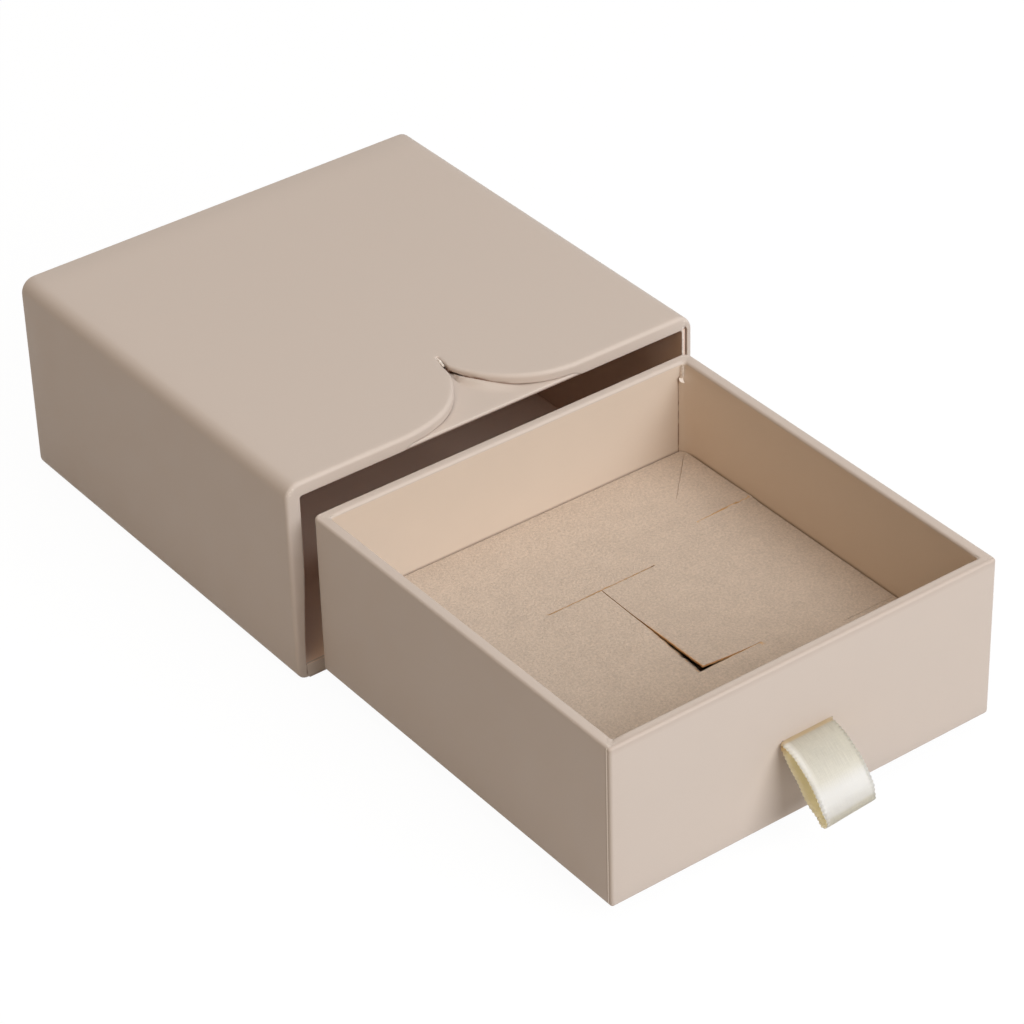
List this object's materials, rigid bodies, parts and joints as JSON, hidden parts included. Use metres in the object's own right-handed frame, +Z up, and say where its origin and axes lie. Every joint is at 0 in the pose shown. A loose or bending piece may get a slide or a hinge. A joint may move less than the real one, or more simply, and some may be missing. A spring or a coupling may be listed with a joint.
{
  "type": "ring box with drawer",
  "caption": "Small paper-covered ring box: a board sleeve with rounded leaves at its mouth and a slide-out drawer with a ribbon pull and a slit suede pad that holds a ring.",
  "frame": {"origin": "centre of the sleeve's underside, on the surface that the box stands on", "axes": "+Z up, +X to the right as seen from the front, +Y from the drawer's front towards the sleeve's back"},
  "size_m": [0.085, 0.1768, 0.0397],
  "materials": {
    "cover_paper": "matte",
    "lining_card": "matte",
    "grey_board": "matte",
    "kraft_tape": "matte",
    "pad_card": "matte",
    "flocked_suede": "matte",
    "satin_ribbon": "satin"
  },
  "bodies": {
    "sleeve": {"sleeve_shell_board": "grey_board", "sleeve_wrap_paper": "cover_paper", "sleeve_back_board": "grey_board", "sleeve_back_paper": "cover_paper", "sleeve_foot_paper": "cover_paper", "sleeve_lining_ceiling": "lining_card", "sleeve_lining_floor": "lining_card", "sleeve_lining_left": "lining_card", "sleeve_lining_right": "lining_card", "sleeve_lining_back": "lining_card"},
    "drawer": {"drawer_base_board": "grey_board", "drawer_front_board": "grey_board", "drawer_back_board": "grey_board", "drawer_left_board": "grey_board", "drawer_right_board": "grey_board", "drawer_corner_tapes": "kraft_tape", "drawer_wrap_paper": "cover_paper", "drawer_floor_paper": "cover_paper", "ribbon_tails": "satin_ribbon"},
    "ribbon_pull": {"ribbon_loop": "satin_ribbon"},
    "pad": {"pad_card": "pad_card", "pad_suede": "flocked_suede"},
    "left_flap": {"ring_flap_left": "pad_card", "ring_flap_left_suede": "flocked_suede"},
    "right_flap": {"ring_flap_right": "pad_card", "ring_flap_right_suede": "flocked_suede"}
  },
  "joints": [
    {"name": "drawer_slide", "type": "slide", "parent": "sleeve", "child": "drawer", "axis": [0, -1, 0], "range_m": [-0.0836, 0]},
    {"name": "ribbon_swing", "type": "hinge", "parent": "drawer", "child": "ribbon_pull", "pos_m": [0, -0.124, 0.0189], "axis": [-1, 0, 0], "range_deg": [-20, 55], "stiffness_Nm_per_rad": 0.001},
    {"name": "pad_lift", "type": "slide", "parent": "drawer", "child": "pad", "axis": [0, 0, 1], "range_m": [0, 0.019]},
    {"name": "left_flap_bend", "type": "hinge", "parent": "pad", "child": "left_flap", "pos_m": [-0.0112, -0.0846, 0.01555], "axis": [0, 1, 0], "range_deg": [0, 40], "stiffness_Nm_per_rad": 0.002},
    {"name": "right_flap_bend", "type": "hinge", "parent": "pad", "child": "right_flap", "pos_m": [0.0112, -0.0846, 0.01555], "axis": [0, -1, 0], "range_deg": [0, 43], "stiffness_Nm_per_rad": 0.002}
  ]
}
